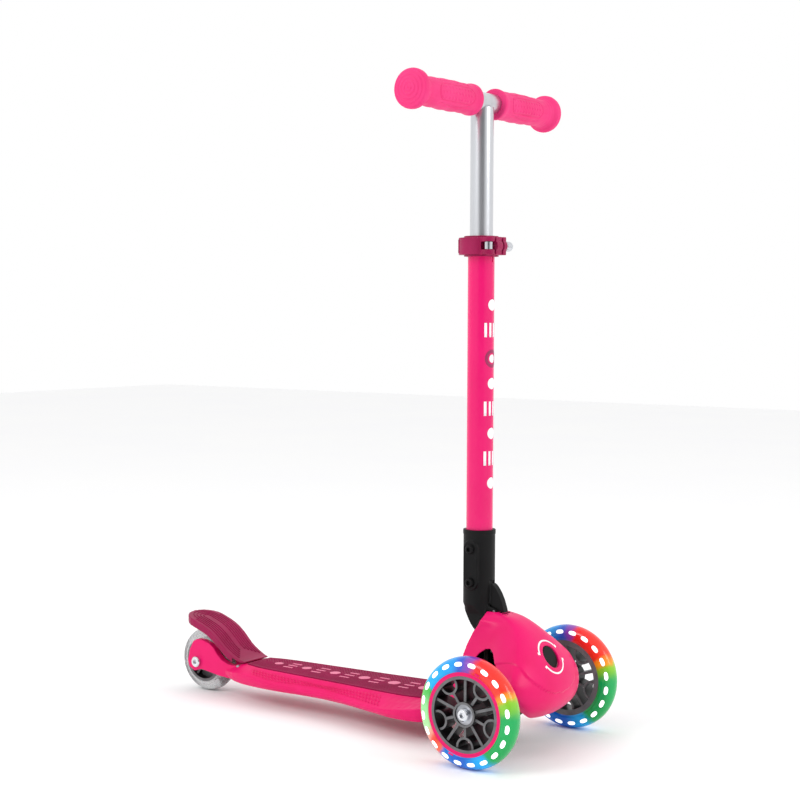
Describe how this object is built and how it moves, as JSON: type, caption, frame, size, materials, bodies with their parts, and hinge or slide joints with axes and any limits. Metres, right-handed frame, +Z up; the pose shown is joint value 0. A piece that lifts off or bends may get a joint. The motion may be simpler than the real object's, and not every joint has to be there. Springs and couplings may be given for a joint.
{
  "type": "kick scooter",
  "caption": "Folding child's lean-to-steer scooter: low deck with foot mat, light-up front wheels, small rear wheel under a brake fender, and a height-adjustable T bar.",
  "frame": {"origin": "on the ground, under the middle of the outline", "axes": "+X forward, +Y to the left, +Z up along the column"},
  "size_m": [0.5674, 0.289, 0.7415],
  "materials": {
    "pink_plastic": "satin gloss, moulded",
    "pink_paint": "gloss painted",
    "pink_grip": "soft matt",
    "raspberry_mat": "ribbed matt",
    "raspberry_plastic": "satin",
    "black_plastic": "satin, fine grain",
    "dark_grey_plastic": "satin",
    "clear_tyre": "glossy translucent",
    "rear_tyre": "glossy translucent",
    "light_core": "milky, lit",
    "bare_aluminium": "satin anodised",
    "chrome_fittings": "polished",
    "zinc_steel": "zinc plated",
    "black_rubber": "matt",
    "white_nylon": "matt"
  },
  "bodies": {
    "deck": {"deck_shell": "pink_plastic", "deck_mat": "raspberry_mat", "front_cover": "pink_plastic", "front_frame": "black_plastic", "kingpin": "zinc_steel", "steering_rubbers": "black_rubber", "fold_pin": "zinc_steel", "lock_spring": "zinc_steel", "brake_pin": "zinc_steel", "brake_spring": "zinc_steel", "rear_axle": "chrome_fittings", "rear_washers": "zinc_steel", "deck_screws": "zinc_steel"},
    "column": {"elbow": "black_plastic", "lower_tube": "pink_paint", "elbow_bolts": "black_plastic", "elbow_nuts": "zinc_steel", "clamp_collar": "raspberry_plastic", "clamp_bolt": "chrome_fittings", "clamp_nut": "chrome_fittings", "tube_sleeve": "white_nylon", "lever_pin": "zinc_steel", "release_pin": "zinc_steel", "release_spring": "zinc_steel"},
    "handlebar": {"upper_tube": "bare_aluminium", "crossbar": "bare_aluminium", "grip_left": "pink_grip", "grip_right": "pink_grip", "bar_end_plugs": "black_plastic", "tube_foot_plug": "black_plastic"},
    "height_lever": {"clamp_lever": "raspberry_plastic"},
    "release_lever": {"fold_release": "black_plastic"},
    "carriage": {"carriage": "black_plastic", "kingpin_bushes": "white_nylon", "front_axle_bolts": "chrome_fittings"},
    "front_wheel_left": {"front_tyre_left": "clear_tyre", "front_hub_left": "dark_grey_plastic", "front_trim_ring_left": "pink_plastic", "front_light_ring_left": "light_core", "front_bearings_left": "zinc_steel", "front_spacer_left": "zinc_steel"},
    "front_wheel_right": {"front_tyre_right": "clear_tyre", "front_hub_right": "dark_grey_plastic", "front_trim_ring_right": "pink_plastic", "front_light_ring_right": "light_core", "front_bearings_right": "zinc_steel", "front_spacer_right": "zinc_steel"},
    "rear_wheel": {"rear_tyre": "rear_tyre", "rear_hub": "dark_grey_plastic", "rear_bearings": "zinc_steel", "rear_spacer": "zinc_steel"},
    "brake": {"brake_fender": "raspberry_plastic"},
    "steering_lock": {"lock_button": "black_plastic", "lock_plunger": "white_nylon"}
  },
  "joints": [
    {"name": "steering_lean", "type": "hinge", "parent": "deck", "child": "carriage", "pos_m": [0.22325, 0, 0.0605], "axis": [0.766, 0, 0.6428], "range_deg": [-12, 12], "stiffness_Nm_per_rad": 30},
    {"name": "front_wheel_left_spin", "type": "hinge", "parent": "carriage", "child": "front_wheel_left", "pos_m": [0.22325, 0.108, 0.0605], "axis": [0, 1, 0], "continuous": true},
    {"name": "front_wheel_right_spin", "type": "hinge", "parent": "carriage", "child": "front_wheel_right", "pos_m": [0.22325, -0.108, 0.0605], "axis": [0, 1, 0], "continuous": true},
    {"name": "rear_wheel_spin", "type": "hinge", "parent": "deck", "child": "rear_wheel", "pos_m": [-0.24375, 0, 0.04], "axis": [0, 1, 0], "continuous": true},
    {"name": "fold", "type": "hinge", "parent": "deck", "child": "column", "pos_m": [0.18125, 0, 0.132], "axis": [0, -1, 0], "range_deg": [0, 87]},
    {"name": "bar_height", "type": "slide", "parent": "column", "child": "handlebar", "axis": [0, 0, 1], "range_m": [-0.05, 0.05]},
    {"name": "height_lever_open", "type": "hinge", "parent": "column", "child": "height_lever", "pos_m": [0.18745, -0.0205, 0.5595], "axis": [0, 0, 1], "range_deg": [0, 120]},
    {"name": "fold_release_press", "type": "hinge", "parent": "column", "child": "release_lever", "pos_m": [0.18975, 0, 0.15], "axis": [0, -1, 0], "range_deg": [0, 5], "stiffness_Nm_per_rad": 0.5},
    {"name": "brake_press", "type": "hinge", "parent": "deck", "child": "brake", "pos_m": [-0.17575, 0, 0.0415], "axis": [0, -1, 0], "range_deg": [0, 2.5], "stiffness_Nm_per_rad": 6},
    {"name": "steering_lock_press", "type": "slide", "parent": "deck", "child": "steering_lock", "axis": [-0.891, 0, -0.454], "range_m": [0, 0.004], "stiffness_N_per_m": 400}
  ]
}
